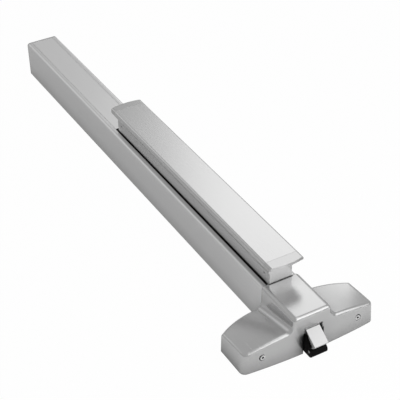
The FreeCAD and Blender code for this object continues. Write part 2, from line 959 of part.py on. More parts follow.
def make_bar_cap(label, nose, joint, neck_end, slant, pin_x):
    """End cap with the bar's outline: bowed nose, undercut chin, and a plug inside the neck."""
    body = new_body(label)
    forward = nose.number > joint.number
    low, high = (joint, nose) if forward else (nose, joint)
    way = 1 if forward else -1
    heel = joint - way * (slant - joint_gap)
    start, finish = (heel, high) if forward else (low, heel)
    pad(body, "YZ_Plane", start, finish, bar_outside(neck_bottom))
    chin_low = bar_top - size("cap_chin")
    far = nose + way * size("cap_chin")
    chin_x = nose - way * size("cap_chin") / 2
    throat_z = flare_low + 5.4
    below = neck_bottom - past
    chin_cut = [(far, chin_low), (chin_x, chin_low), (neck_end, throat_z), (neck_end, below), (far, below)]
    pocket(body, "XZ_Plane", -bar_reach, bar_reach, chin_cut)
    bow = size("cap_bow")
    bow_radius = (bar_half * bar_half + bow * bow) / (2 * bow)
    nose_cut = [
        (nose - way * bow, -bar_half),
        (nose, zero, bow_radius * way),
        (nose - way * bow, bar_half, bow_radius * way),
        (far, bar_reach),
        (far, -bar_reach),
    ]
    pocket(body, "XY_Plane", below, bar_top + past, nose_cut)
    if slant:
        behind = [
            (heel - past, flare_low),
            (heel, flare_low),
            (joint + joint_gap, edge_low),
            (joint + joint_gap, bar_top + past),
            (heel - past, bar_top + past),
        ]
        pocket(body, "XZ_Plane", -bar_reach, bar_reach, behind)
    plug_half = neck_half - bar_wall - joint_gap
    plug_wall = 2.0
    plug_inset = 1.5
    plug_end = heel - way * size("cap_plug_length")
    plug_high = flare_low - plug_inset
    hollow_end = neck_end - way * plug_wall
    plug = box_loop(-plug_half, plug_half, neck_bottom + plug_inset, plug_high)
    pad(body, "YZ_Plane", *sorted((plug_end, heel), key=number_of), plug)
    hollow = box_loop(plug_wall - plug_half, plug_half - plug_wall, below, plug_high - plug_wall)
    pocket(body, "YZ_Plane", *sorted((plug_end + way * plug_wall, hollow_end), key=number_of), hollow)
    pocket(body, "XZ_Plane", -bar_reach, bar_reach, ("circle", pin_x, cap_pin_z, cap_pin_radius))
    return body


def make_bar_cap_screws():
    """Four tiny headless screws that hold the caps' plugs from the neck's sides."""
    radius = cap_pin_radius - pin_gap
    shank_length = plain(2.9)
    head_height = plain(0.8)
    sink = 0.9
    items = []
    for end, x in zip(("front", "rear"), cap_pin_xs):
        for side, name in ((-1, "left"), (1, "right")):
            spot = (x, side * (neck_half - sink), cap_pin_z)
            label = f"bar_cap_screw_{end}_{name}"
            items.append(socket_screw(label, spot, (0, side, 0), radius, shank_length, radius, head_height))
    return group("bar_cap_screws", items)


# Drive rod, its spring and its stops


def make_drive_rod():
    """Flat rod that joins both cranks to the latch; upright slots take the cranks' lower pins."""
    body = new_body("drive_rod")
    bar = box_loop(rod_rear, rod_front, rod_z - rod_half_height, rod_z + rod_half_height)
    pad(body, "XZ_Plane", -rod_half_width, rod_half_width, bar)
    rise = rod_arm * (1 - swing_cosine)
    through = rod_half_width + past
    slot_radius = link_radius + slot_play
    for pivot_x in crank_xs.values():
        x = rod_pin_spot(pivot_x)[0]
        slot = capsule((x, rod_z - rise / 2), (x, rod_z + rise / 2), rise, slot_radius)
        pocket(body, "XZ_Plane", -through, through, slot)
    end_hole = ("circle", rod_end_pin_x, rod_z, rod_end_pin_radius + pin_gap)
    collar_hole = ("circle", collar_x, rod_z, collar_pin_radius + pin_gap)
    pocket(body, "XZ_Plane", -through, through, end_hole)
    pocket(body, "XZ_Plane", -through, through, collar_hole)

    def end_corner(edge):
        x = edge.BoundBox.XMax
        return runs_along(edge, "y") and (near(x, rod_rear) or near(x, rod_front))

    round_edges(body, plain(2.0), end_corner)
    return body


def make_spring_collar():
    """Round collar pinned to the rod; the return spring pushes on it."""
    body = new_body("spring_collar")
    low = collar_x - collar_length / 2
    half_wide = rod_half_width + 0.1
    half_high = rod_half_height + 0.1
    window = box_loop(-half_wide, half_wide, rod_z - half_high, rod_z + half_high)
    pad(body, "YZ_Plane", low, low + collar_length, ("circle", zero, rod_z, collar_radius), window)
    through = collar_radius + past
    pocket(body, "XZ_Plane", -through, through, ("circle", collar_x, rod_z, collar_pin_radius))
    return body


def folded_stop(label, face_x, foot, half, top):
    """Folded angle on the rail's floor whose upright faces the latch end."""
    body = new_body(label)
    profile = [
        (face_x - foot, rail_floor),
        (face_x, rail_floor),
        (face_x, top),
        (face_x - plate, top),
        (face_x - plate, base_top),
        (face_x - foot, base_top),
    ]
    pad(body, "XZ_Plane", plain(-half), plain(half), profile)

    def bend(edge):
        box = edge.BoundBox
        return runs_along(edge, "y") and near(box.XMax, face_x - plate) and near(box.ZMax, base_top)

    round_edges(body, plain(2.0), bend)
    return body


def make_spring_stop():
    """Fixed stop that the return spring leans on; the rod slides through its window."""
    body = folded_stop("spring_stop", spring_stop_x, spring_stop_foot, 13.0, rod_z + 12)
    half_wide = rod_half_width + side_clearance
    half_high = rod_half_height + side_clearance
    window = box_loop(-half_wide, half_wide, rod_z - half_high, rod_z + half_high)
    pocket(body, "YZ_Plane", spring_stop_x - plate - past, spring_stop_x + past, window)
    holes = [("circle", x, y, screw_hole) for x, y in stop_screw_spots]
    pocket(body, "XY_Plane", rail_floor - past, base_top + past, *holes)
    return body


def make_stop_block():
    """Angle that carries the rubber stop."""
    body = folded_stop("stop_block", stop_block_x, stop_block_foot, 10.0, rod_z + 8)
    holes = [("circle", x, y, screw_hole) for x, y in block_screw_spots]
    pocket(body, "XY_Plane", rail_floor - past, base_top + past, *holes)
    return body


def make_rubber_stop():
    """Soft buffer that ends the rod's travel."""
    body = new_body("rubber_stop")
    pad(body, "YZ_Plane", stop_block_x, rubber_front, ("circle", zero, rod_z, size("rubber_radius")))

    def nose(edge):
        return near(edge.BoundBox.XMin, rubber_front) and near(edge.BoundBox.XMax, rubber_front)

    bevel_edges(body, plain(1.5), nose)
    return body


def make_spring(label, low, length, axis_z, coil_radius, wire, turns):
    """Compression spring along X, wound from square wire as one helix."""
    body = new_body(label)
    sketch = new_sketch(body, "XZ_Plane", zero)
    start = low + spring_end_gap
    inside = coil_radius - wire / 2
    draw(sketch, [box_loop(start, start + wire, inside, inside + wire)])
    helix = body.newObject("PartDesign::AdditiveHelix", label + "_coil")
    helix.Profile = sketch
    helix.ReferenceAxis = (sketch, ["H_Axis"])
    helix.Mode = "height-turns-growth"
    bind(helix, "Height", length - wire - 2 * spring_end_gap)
    helix.Turns = turns
    bind(body, "Placement.Base.z", axis_z)
    doc.recompute()
    return body


# Latch head


def plan_loop(inset):
    """The head's outline seen from in front of the door, moved inwards by the inset."""
    half = head_half - inset
    front = bow_x(head_half) - inset
    bow = size("front_bow")
    bow_radius = (half * half + bow * bow) / (2 * bow)
    flat = size("rear_flat_half")
    sweep = size("rear_sweep_radius") - inset
    rise = half - flat
    corner_x = cover_rear + size("rear_sweep_radius") - (sweep * sweep - rise * rise).root()
    rear = cover_rear + inset
    return [
        (front, -half),
        (front + bow, zero, bow_radius),
        (front, half, bow_radius),
        (corner_x, half),
        (rear, flat, sweep),
        (rear, -flat),
        (corner_x, -half, sweep),
    ]


def wing_section(height, crown, drop, inset):
    """A slice across the head under the ridge: flat below, gently crowned above."""
    reach = head_half + 10
    top = height - inset
    edge = top - crown
    radius = (reach * reach + crown * crown) / (2 * crown)
    return [(-reach, drop), (reach, drop), (reach, edge), (zero, top, radius), (-reach, edge, radius)]


def loft_wings(body, front, rear, drop, inset):
    """The crowned wings, lofted from the front of the head to its rear."""
    sketches = []
    for x, name in ((front, "wing_front"), (zero, "wing_middle"), (rear, "wing_rear")):
        sketch = new_sketch(body, "YZ_Plane", x)
        draw(sketch, [wing_section(size(name + "_height"), size(name + "_crown"), drop, inset)])
        sketches.append(sketch)
    loft = body.newObject("PartDesign::AdditiveLoft", body.Name + "_loft")
    loft.Profile = sketches[0]
    loft.Sections = sketches[1:]
    doc.recompute()


def lean_sides(body, half, drop, top):
    """Slope both ends of the head inwards as they rise."""
    lean = size("side_lean") * (top - drop) / size("wing_front_height")
    out = half + head_half
    right = [(half, drop), (out, drop), (out, top), (half - lean, top)]
    left = [(-across, up) for across, up in right[::-1]]
    pocket(body, "YZ_Plane", cover_rear - past, head_front + past, right, left)


def make_cover_form(label, inset, half, top, edge_round, foot_round, corner_round, drop):
    """The cover's form as a solid: crowned wings and the ridge, cut to the head's outline."""
    body = new_body(label)
    front = head_front + 4
    rear = cover_rear - 6
    loft_wings(body, front, rear, drop, inset)
    pad(body, "YZ_Plane", rear, front, box_loop(-half, half, drop, top))

    def ridge_edge(edge):
        box = edge.BoundBox
        return runs_along(edge, "x") and near(box.ZMax, top) and near(abs(box.YMax), half)

    def ridge_foot(edge):
        box = edge.BoundBox
        beside = near(abs(box.YMax), half) and box.YLength < 0.01
        return beside and box.XLength > 60 and drop.number + 10 < box.ZMin < number_of(top) - 10

    def front_corner(edge):
        box = edge.BoundBox
        at_end = box.YMin * box.YMax > 0 and near(max(abs(box.YMin), abs(box.YMax)), head_half - inset)
        return at_end and near(box.XMax, bow_x(head_half) - inset, 1.0) and box.ZLength > 20

    round_edges(body, edge_round, ridge_edge)
    if foot_round:
        round_edges(body, foot_round, ridge_foot)
    beyond = head_half + 50
    frame = box_loop(-beyond, beyond, -beyond, beyond)
    pocket(body, "XY_Plane", drop - past, top + past, frame, plan_loop(inset))
    lean_sides(body, head_half - inset, drop, top)
    round_edges(body, corner_round, front_corner)
    return body


def top_rim_test(body):
    """Picks the edges where the cover's top meets its front, its ends and its swept back."""
    base = body.Tip.Shape
    upper = number_of(size("wing_rear_height")) - 6

    def test(edge):
        box = edge.BoundBox
        if box.ZMin < upper:
            return False
        faces = base.ancestorsOfType(edge, Part.Face)
        if len(faces) != 2:
            return False
        upright = [abs(f.normalAt(*f.Surface.parameter(edge.CenterOfMass)).z) < 0.15 for f in faces]
        on_ridge_side = box.YLength < 0.01 and box.XLength > 5
        return upright.count(True) == 1 and not on_ridge_side

    return test


def latch_slot():
    """Stepped opening for the bolt above and the wider snubber below, open at the bottom edge.
    On one side it is wider by a relief."""
    wide = snubber_half + slot_margin
    narrow = bolt_half + slot_margin
    relief = size("slot_relief")
    low = zero - past
    step = snubber_cheek_top + slot_step_room
    high = bolt_top + slot_head_room
    return [
        (wide + relief, low),
        (wide + relief, step),
        (narrow + relief, step),
        (narrow + relief, high),
        (-narrow, high),
        (-narrow, step),
        (-wide, step),
        (-wide, low),
    ]


def rail_passage():
    """Opening in the cover's back that the rail enters by."""
    corner = rail_corner - seat_gap
    low = zero - past
    return [
        (-ridge_inner, low),
        (ridge_inner, low),
        (ridge_inner, ridge_under - corner),
        (ridge_inner - corner, ridge_under, corner),
        (corner - ridge_inner, ridge_under),
        (-ridge_inner, ridge_under - corner, corner),
    ]


def make_head_cover():
    """Thin cover: the outer form less the inner one, with its openings cut."""
    corner = size("cover_corner_round")
    body = make_cover_form(
        "head_cover",
        zero,
        ridge_half,
        ridge_top,
        size("ridge_edge_round"),
        size("ridge_foot_round"),
        corner,
        zero,
    )
    round_edges(body, size("cover_edge_round"), top_rim_test(body))
    inner = make_cover_form(
        "head_cover_inside",
        cover_wall,
        ridge_inner,
        ridge_under,
        rail_corner - seat_gap,
        None,
        corner - cover_wall,
        zero - 5,
    )
    hollow = body.newObject("PartDesign::Boolean", "head_cover_hollow")
    hollow.setObjects([inner])
    hollow.Type = "Cut"
    doc.recompute()
    pocket(body, "YZ_Plane", cover_rear - 5, cover_rear + 6, rail_passage())
    notch_half = neck_half + 0.7
    notch = box_loop(cover_rear - 5, neck_front + 0.8, -notch_half, notch_half)
    pocket(body, "XY_Plane", rail_top - 4, ridge_top + past, notch)
    behind = head_front - size("front_bow") - 2 * cover_wall
    front = head_front + past
    pocket(body, "YZ_Plane", behind, front, latch_slot())
    spots = [(side * cover_screw_y, cover_screw_z) for side in (-1, 1)]
    holes = [("circle", y, z, screw_shank + head_clearance) for y, z in spots]
    pocket(body, "YZ_Plane", behind, front, *holes)
    seats = [("circle", y, z, screw_head + head_clearance) for y, z in spots]
    pocket(body, "YZ_Plane", cover_screw_x - screw_short, front, *seats)
    return body


def make_chassis():
    """Base plate of the head: four door holes, a front notch, two turned-up ears, and a stepped
    tongue that lies on the rail's floor."""
    body = new_body("chassis")
    rear = rail_front + seat_gap
    half = head_half - 7
    front = ear_front
    notch = snubber_half + 0.9
    notch_rear = head_front - 25
    right = [
        (notch_rear, notch),
        (front, notch),
        (front, half - 14),
        (front - 8, half),
        (rear + 14, half),
        (rear, half - 18),
    ]
    left = [(along, -across) for along, across in right[::-1]]
    pad(body, "XY_Plane", zero, chassis_top, right + left)
    tongue = [
        (tongue_rear_x, rail_floor),
        (rear, rail_floor),
        (rear, zero),
        (rear + 9, zero),
        (rear + 9, chassis_top),
        (rear + 3, base_top),
        (tongue_rear_x, base_top),
    ]
    pad(body, "XZ_Plane", plain(-tongue_half_width), plain(tongue_half_width), tongue)
    ears = []
    for side in (-1, 1):
        middle = side * cover_screw_y
        ears.append(box_loop(middle - ear_half, middle + ear_half, chassis_top, ear_top))
    pad(body, "YZ_Plane", ear_front - ear_plate, ear_front, *ears)

    def ear_corner(edge):
        return runs_along(edge, "x") and near(edge.BoundBox.ZMax, ear_top)

    round_edges(body, plain(5.0), ear_corner)
    for side in (-1, 1):
        hole = ("circle", side * cover_screw_y, cover_screw_z, screw_hole)
        pocket(body, "YZ_Plane", ear_front - ear_plate - past, ear_front + past, hole)
    half_long = size("mount_spacing_long") / 2
    half_wide = size("mount_spacing_wide") / 2
    door_hole = size("mount_hole_radius")
    holes = [
        ("circle", dx * half_long, dy * half_wide, door_hole)
        for dx in (-1, 1)
        for dy in (-1, 1)
    ]
    holes += [("circle", x, y, screw_hole) for x, y in guide_spots]
    pocket(body, "XY_Plane", zero - past, chassis_top + past, *holes)
    tongue_holes = [("circle", x, y, screw_hole) for x, y in tongue_screw_spots]
    pocket(body, "XY_Plane", rail_floor - past, base_top + past, *tongue_holes)
    return body


def make_bolt_guide():
    """Hat-shaped guide over the bolt, with a low rear wall for the snubber's spring."""
    body = new_body("bolt_guide")
    foot_top = chassis_top + guide_wall
    foot = guide_outer + guide_foot
    roof = guide_top + guide_wall
    right = [
        (guide_inner, guide_top),
        (guide_inner, chassis_top),
        (foot, chassis_top),
        (foot, foot_top),
        (guide_outer, foot_top),
        (guide_outer, roof),
    ]
    left = [(-across, up) for across, up in right[::-1]]
    pad(body, "YZ_Plane", guide_rear, guide_front, right + left)

    def roof_edge(edge):
        return runs_along(edge, "x") and near(edge.BoundBox.ZMax, roof)

    round_edges(body, plain(2.4), roof_edge)
    wall = box_loop(-guide_inner, guide_inner, chassis_top, chassis_top + 11)
    pad(body, "YZ_Plane", stop_wall_x, stop_wall_x + stop_wall, wall)
    holes = [("circle", x, y, screw_hole) for x, y in guide_spots]
    pocket(body, "XY_Plane", chassis_top - past, foot_top + past, *holes)
    return body


# Latch bolt, its link and the deadlatch snubber


def make_latch_bolt():
    """Bevelled latch bolt with a tongue behind it for the link."""
    body = new_body("latch_bolt")
    tip = head_front + size("bolt_reach")
    tip_top = size("bolt_tip_height")
    side = [
        (bolt_rear, bolt_bottom),
        (tip - size("bolt_tip_undercut"), bolt_bottom),
        (tip, tip_top - size("bolt_tip_thickness")),
        (tip, tip_top),
        (head_front, bolt_top),
        (bolt_rear, bolt_top),
    ]
    pad(body, "XZ_Plane", -bolt_half, bolt_half, side)
    low, high = bolt_pin_z - bolt_tongue_rise, bolt_pin_z + bolt_tongue_rise
    tongue = box_loop(bolt_tongue_rear, bolt_rear + past, low, high)
    pad(body, "XZ_Plane", plain(-bolt_tongue_half), plain(bolt_tongue_half), tongue)
    pocket(body, "XZ_Plane", -bolt_half, bolt_half, ("circle", bolt_pin_x, bolt_pin_z, link_radius))
    return body


def make_bolt_link():
    """Twin straps that join the rod's end to the bolt's tongue, riveted to a spacer between."""
    body = new_body("bolt_link")
    start = (rod_end_pin_x, rod_z)
    finish = (bolt_pin_x, bolt_pin_z)
    run = finish[0] - start[0]
    rise = finish[1] - start[1]
    length = (run * run + rise * rise).root()
    strap = 2.0
    strap_end_radius = plain(5.2)
    spacer_radius = plain(2.6)
    spacer_share = 0.52
    inner = rod_half_width + seat_gap
    outer = inner + strap
    spacer = (start[0] + run * spacer_share, start[1] + rise * spacer_share)
    pad(body, "XZ_Plane", -outer, outer, ("circle", *spacer, spacer_radius))
    for low, high in ((inner, outer), (-outer, -inner)):
        pad(body, "XZ_Plane", low, high, capsule(start, finish, length, strap_end_radius))
    through = outer + past
    pocket(body, "XZ_Plane", -through, through, ("circle", *start, rod_end_pin_radius))
    pocket(body, "XZ_Plane", -through, through, ("circle", *finish, link_radius))
    return body


def make_snubber():
    """Black deadlatch snubber: a round-nosed block under the bolt with a cheek each side of it."""
    body = new_body("deadlatch_snubber")
    nose = head_front + size("snubber_reach")
    nose_round = (snubber_top - snubber_low) / 2
    block = [
        (snubber_rear, snubber_low),
        (nose - nose_round, snubber_low),
        (nose, snubber_low + nose_round, nose_round),
        (nose - nose_round, snubber_top, nose_round),
        (snubber_rear, snubber_top),
    ]
    pad(body, "XZ_Plane", -snubber_half, snubber_half, block)
    cheek = [
        (snubber_rear, snubber_top),
        (nose - nose_round, snubber_top),
        (head_front, snubber_cheek_top),
        (snubber_rear, snubber_cheek_top),
    ]
    cheek_inner_y = bolt_half + seat_gap
    for y_low, y_high in ((cheek_inner_y, snubber_half), (-snubber_half, -cheek_inner_y)):
        pad(body, "XZ_Plane", y_low, y_high, cheek)
    return body


def make_linkage():
    """Each crank with its bracket, its hanging lug and its three pins."""
    made = []
    for end, pivot_x in crank_xs.items():
        made += [
            make_crank_bracket(end + "_bracket", pivot_x),
            make_crank(end + "_crank", pivot_x),
            make_lug(end + "_lug", pivot_x),
            cross_pin(end + "_pivot_pin", pivot_radius, cheek_outer + 0.8, pivot_x, pivot_z),
            cross_pin(end + "_link_pin", link_radius, lug_outer + 0.7, *link_pin_spot(pivot_x)),
            cross_pin(end + "_rod_pin", link_radius, crank_outer + 0.4, *rod_pin_spot(pivot_x)),
        ]
    return made


def make_screws():
    floor_spots = [(x, y, base_top) for x, y in floor_screw_spots]
    guide_seat = chassis_top + guide_wall
    foot_spots = [(x, y, guide_seat) for x, y in guide_spots]
    cover_spots = [(cover_screw_x, side * cover_screw_y, cover_screw_z) for side in (-1, 1)]
    cap_spots = [(device_rear + cap_screw_sink, y, cap_screw_z) for y in cap_screw_ys]
    high = size("screw_head_height")
    up = (0, 0, 1)
    return [
        screw_set("floor_screws", hexagon_screw, floor_spots, up, base_top - screw_short, high),
        screw_set("guide_screws", hexagon_screw, foot_spots, up, guide_seat - screw_short, high),
        screw_set("cover_screws", socket_screw, cover_spots, (1, 0, 0), plain(6.0), cover_screw_sink),
        screw_set("end_cap_screws", socket_screw, cap_spots, (-1, 0, 0), plain(5.5), sunk_head_height),
    ]


def build():
    pin_reach = rod_half_width + 3.6
    snubber_spring_low = stop_wall_x + stop_wall
    return [
        make_rail(),
        make_filler_plate(),
        make_rail_end_cap(),
        make_end_bracket(),
        make_chassis(),
        make_head_cover(),
        make_bolt_guide(),
        make_push_bar(),
        make_bar_cap("front_bar_cap", bar_front, front_joint, neck_front, joint_slant, cap_pin_xs[0]),
        make_bar_cap("rear_bar_cap", bar_rear, rear_joint, neck_rear, 0, cap_pin_xs[1]),
        make_bar_cap_screws(),
        make_drive_rod(),
        make_spring_collar(),
        cross_pin("collar_pin", collar_pin_radius, collar_radius, collar_x, rod_z),
        make_spring_stop(),
        make_stop_block(),
        make_rubber_stop(),
        make_spring(
            "return_spring",
            spring_stop_x,
            spring_length,
            rod_z,
            size("spring_radius"),
            size("spring_wire"),
            5,
        ),
        make_spring(
            "snubber_spring",
            snubber_spring_low,
            snubber_rear - snubber_spring_low,
            chassis_top + 6.2,
            plain(3.4),
            plain(0.8),
            4,
        ),
        make_latch_bolt(),
        make_bolt_link(),
        make_snubber(),
        cross_pin("bolt_pin", link_radius, pin_reach, bolt_pin_x, bolt_pin_z),
        cross_pin("rod_end_pin", rod_end_pin_radius, pin_reach, rod_end_pin_x, rod_z),
        *make_linkage(),
        *make_screws(),
    ]


def check_and_write(made):
    doc.recompute()
    for item in doc.Objects:
        if any(word in item.State for word in ("Invalid", "Error")):
            raise RuntimeError(f"{item.Name} is {item.State}")
    for item in made:
        if item.Shape.isNull() or not item.Shape.isValid():
            raise RuntimeError(f"{item.Label} has no valid shape")
    os.makedirs("parts", exist_ok=True)
    for item in made:
        item.Shape.exportStep(f"parts/{item.Label}.step")
        print(item.Label, len(item.Shape.Solids), round(item.Shape.Volume, 1))


check_and_write(build())
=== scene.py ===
import json
import math

import bpy
from mathutils import Matrix, Vector

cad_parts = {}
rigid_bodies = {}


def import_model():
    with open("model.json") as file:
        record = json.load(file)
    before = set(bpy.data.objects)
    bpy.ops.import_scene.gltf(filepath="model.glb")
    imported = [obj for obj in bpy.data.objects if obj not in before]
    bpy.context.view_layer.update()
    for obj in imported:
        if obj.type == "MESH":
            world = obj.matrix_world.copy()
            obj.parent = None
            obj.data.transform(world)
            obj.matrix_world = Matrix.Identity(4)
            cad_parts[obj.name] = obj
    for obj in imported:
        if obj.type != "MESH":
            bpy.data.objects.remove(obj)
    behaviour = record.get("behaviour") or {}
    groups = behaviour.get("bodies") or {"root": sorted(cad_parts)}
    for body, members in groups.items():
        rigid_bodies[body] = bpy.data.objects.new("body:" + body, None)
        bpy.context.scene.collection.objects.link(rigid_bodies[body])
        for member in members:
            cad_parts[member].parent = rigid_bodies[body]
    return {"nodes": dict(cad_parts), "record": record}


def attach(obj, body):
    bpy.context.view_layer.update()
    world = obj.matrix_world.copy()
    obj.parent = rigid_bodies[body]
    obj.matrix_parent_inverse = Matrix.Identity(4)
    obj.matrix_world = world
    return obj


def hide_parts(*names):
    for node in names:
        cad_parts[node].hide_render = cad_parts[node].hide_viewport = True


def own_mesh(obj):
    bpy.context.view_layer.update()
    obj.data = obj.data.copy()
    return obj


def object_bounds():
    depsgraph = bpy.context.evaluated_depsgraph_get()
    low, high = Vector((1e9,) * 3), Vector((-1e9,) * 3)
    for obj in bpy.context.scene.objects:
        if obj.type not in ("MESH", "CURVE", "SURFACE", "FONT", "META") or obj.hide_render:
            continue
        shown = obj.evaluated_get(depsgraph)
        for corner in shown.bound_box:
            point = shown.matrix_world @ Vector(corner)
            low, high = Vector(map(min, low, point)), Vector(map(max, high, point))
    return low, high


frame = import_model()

cad_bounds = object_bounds()
nodes = frame["nodes"]

# Camera: set as the photograph was taken, aimed at a point inside the rail

AIM = Vector((-0.28105, 0.01943, 0.030))
VIEW_DISTANCE = 1.73738
VIEW_AZIMUTH = math.radians(61.153)
VIEW_ELEVATION = math.radians(36.159)
VIEW_ROLL = math.radians(-1.555)
LENS_MM = 107.70
SENSOR_MM = 36.0
FAR_CLIP = 50.0


def place_camera():
    flat = math.cos(VIEW_ELEVATION)
    back = Vector(
        (math.sin(VIEW_AZIMUTH) * flat, -math.cos(VIEW_AZIMUTH) * flat, math.sin(VIEW_ELEVATION))
    )
    level = Vector((math.cos(VIEW_AZIMUTH), math.sin(VIEW_AZIMUTH), 0.0))
    upright = back.cross(level)
    right = level * math.cos(VIEW_ROLL) + upright * math.sin(VIEW_ROLL)
    up = upright * math.cos(VIEW_ROLL) - level * math.sin(VIEW_ROLL)
    data = bpy.data.cameras.new("photo_view")
    data.lens = LENS_MM
    data.sensor_width = SENSOR_MM
    data.clip_end = FAR_CLIP
    camera = bpy.data.objects.new("photo_view", data)
    turn = Matrix((right, up, back)).transposed().to_4x4()
    camera.matrix_world = Matrix.Translation(AIM + back * VIEW_DISTANCE) @ turn
    bpy.context.scene.collection.objects.link(camera)
    bpy.context.scene.camera = camera


# Node building

def plug(tree, value, socket):
    """Link the value where it is another node's output, or else set it on the socket."""
    if isinstance(value, bpy.types.NodeSocket):
        tree.links.new(value, socket)
    else:
        socket.default_value = value


def add_node(tree, kind, settings=None, **values):
    """A node of that kind; settings are its properties and values go on its input sockets."""
    node = tree.nodes.new(kind)
    for name, value in (settings or {}).items():
        setattr(node, name, value)
    for name, value in values.items():
        plug(tree, value, node.inputs[name.replace("_", " ")])
    return node


def use_group(tree, group, **values):
    """A shader group placed in a material, with that material's own values."""
    node = add_node(tree, "ShaderNodeGroup", {"node_tree": group})
    for name, value in values.items():
        plug(tree, value, node.inputs[name.replace("_", " ")])
    return node


def math_node(tree, operation, *values):
    node = add_node(tree, "ShaderNodeMath", {"operation": operation})
    for value, socket in zip(values, node.inputs):
        plug(tree, value, socket)
    return node.outputs[0]


def add_by_share(tree, main, main_share, other):
    """Two values added up: the main one by its share and the other one by the rest."""
    main_part = math_node(tree, "MULTIPLY", main, main_share)
    other_part = math_node(tree, "MULTIPLY", other, 1.0 - main_share)
    return math_node(tree, "ADD", main_part, other_part)


def stretched(tree, vector, factors):
    """The vector stretched by a different factor along each axis."""
    node = add_node(tree, "ShaderNodeVectorMath", {"operation": "MULTIPLY"})
    plug(tree, vector, node.inputs[0])
    plug(tree, factors, node.inputs[1])
    return node.outputs[0]


def between(tree, value, low, high):
    """The value, from 0 to 1, spread between low and high."""
    node = add_node(tree, "ShaderNodeMapRange", Value=value, To_Min=low, To_Max=high)
    return node.outputs["Result"]


def noise(tree, vector, **values):
    return add_node(tree, "ShaderNodeTexNoise", Vector=vector, **values).outputs["Fac"]


def object_place(tree):
    return add_node(tree, "ShaderNodeTexCoord").outputs["Object"]


def new_group(name, inputs, outputs):
    """An empty shader group with named sockets, and its input and output nodes."""
    tree = bpy.data.node_groups.new(name, "ShaderNodeTree")
    for label, kind, default in inputs:
        socket = tree.interface.new_socket(label, in_out="INPUT", socket_type=kind)
        socket.default_value = default
    for label in outputs:
        tree.interface.new_socket(label, in_out="OUTPUT", socket_type="NodeSocketFloat")
    return tree, tree.nodes.new("NodeGroupInput"), tree.nodes.new("NodeGroupOutput")


# Effects that the finishes share

# Brushing lines, in noise cells to the metre along x, y and z: few along a line, many across it
DRAWN_GRAIN = (14.0, 2400.0, 2400.0)
CAST_GRAIN = (40.0, 2000.0, 2000.0)
COVER_GRAIN = (40.0, 1600.0, 1600.0)
BOLT_GRAIN = (60.0, 2000.0, 2000.0)
COARSE_LINES = (0.4, 0.22, 0.22)  # the cells of the coarse lines for each one of the fine lines
FINE_SHARE = 0.6
CLOUD_SIZE = 7.0
SPECKLE_SIZE = 900.0
# Painted shade in narrow places: how far the ambient occlusion looks, and the least share of
# colour it leaves
RECESS_REACH = 0.025
RECESS_LEAST = 0.5
RAY_SAMPLES = 8  # of each ambient occlusion and bevel node


def make_grain_group():
    """Fine brushing lines along the device, and a slow cloud."""
    tree, given, out = new_group(
        "lengthwise_grain",
        [
            ("Line stretch", "NodeSocketVector", DRAWN_GRAIN),
            ("Cloud size", "NodeSocketFloat", CLOUD_SIZE),
        ],
        ["Lines", "Cloud"],
    )
    place = object_place(tree)
    fine_place = stretched(tree, place, given.outputs["Line stretch"])
    coarse_place = stretched(tree, fine_place, COARSE_LINES)
    fine = noise(tree, fine_place, Scale=1.0, Detail=3.0, Roughness=0.55)
    coarse = noise(tree, coarse_place, Scale=1.0, Detail=3.0, Roughness=0.55)
    cloud = noise(tree, place, Scale=given.outputs["Cloud size"], Detail=2.0)
    plug(tree, add_by_share(tree, fine, FINE_SHARE, coarse), out.inputs["Lines"])
    plug(tree, cloud, out.inputs["Cloud"])
    return tree


def make_speckle_group():
    """A fine even mottle, as on plated steel and on moulded plastic."""
    tree, given, out = new_group(
        "even_speckle", [("Speckle size", "NodeSocketFloat", SPECKLE_SIZE)], ["Speckle"]
    )
    size = given.outputs["Speckle size"]
    mottle = noise(tree, object_place(tree), Scale=size, Detail=4.0, Roughness=0.6)
    plug(tree, mottle, out.inputs["Speckle"])
    return tree


def make_recess_group():
    """Painted shade: the share of its colour that a place keeps, all in the open and less in a
    narrow recess.
    """
    tree, given, out = new_group(
        "recess_shade",
        [
            ("Reach", "NodeSocketFloat", RECESS_REACH),
            ("Least share", "NodeSocketFloat", RECESS_LEAST),
        ],
        ["Share"],
    )
    openness = add_node(
        tree,
        "ShaderNodeAmbientOcclusion",
        {"samples": RAY_SAMPLES},
        Distance=given.outputs["Reach"],
    )
    share = between(tree, openness.outputs["AO"], given.outputs["Least share"], 1.0)
    plug(tree, share, out.inputs["Share"])
    return tree


GRAIN = make_grain_group()
SPECKLE = make_speckle_group()
RECESS = make_recess_group()

# Finishes

MIX_DARK, MIX_LIGHT, MIX_COLOUR = 6, 7, 2  # a Mix node's colour sockets, whose names aren't unique
LINES_SHARE = 0.6  # the lines' part in the mask of a satin metal; the cloud has the rest
SATIN_SPREAD = 0.05
SATIN_ROUGH_SWING = 0.08
SATIN_DEPTH = 0.00001
MOTTLED_ROUGH_SWING = 0.1
PLATED_SPREAD = 0.08
PLATED_DEPTH = 0.00001
MOULDED_SPREAD = 0.3  # as a share of the grey
CRISP_EDGE = 0.0003
COVER_EDGE = 0.0030


def tone(level):
    return (level, level, level, 1.0)


def new_material(name, **values):
    """A material with one Principled shader and its constant values set on that shader."""
    material = bpy.data.materials.new(name)
    material.use_nodes = True
    tree = material.node_tree
    shader = tree.nodes["Principled BSDF"]
    for label, value in values.items():
        shader.inputs[label.replace("_", " ")].default_value = value
    return material, tree, shader


def colour_between(tree, mask, dark, light):
    """A colour that moves from one grey to the other with the mask."""
    node = add_node(tree, "ShaderNodeMix", {"data_type": "RGBA"}, Factor=mask)
    node.inputs[MIX_DARK].default_value = tone(dark)
    node.inputs[MIX_LIGHT].default_value = tone(light)
    return node.outputs[MIX_COLOUR]


def shaded_in_recesses(tree, colour, least):
    """The colour with painted shade, of which the narrowest places keep only the least share."""
    share = use_group(tree, RECESS, Least_share=least).outputs["Share"]
    node = add_node(tree, "ShaderNodeVectorMath", {"operation": "SCALE"}, Scale=share)
    plug(tree, colour, node.inputs[0])
    return node.outputs[0]


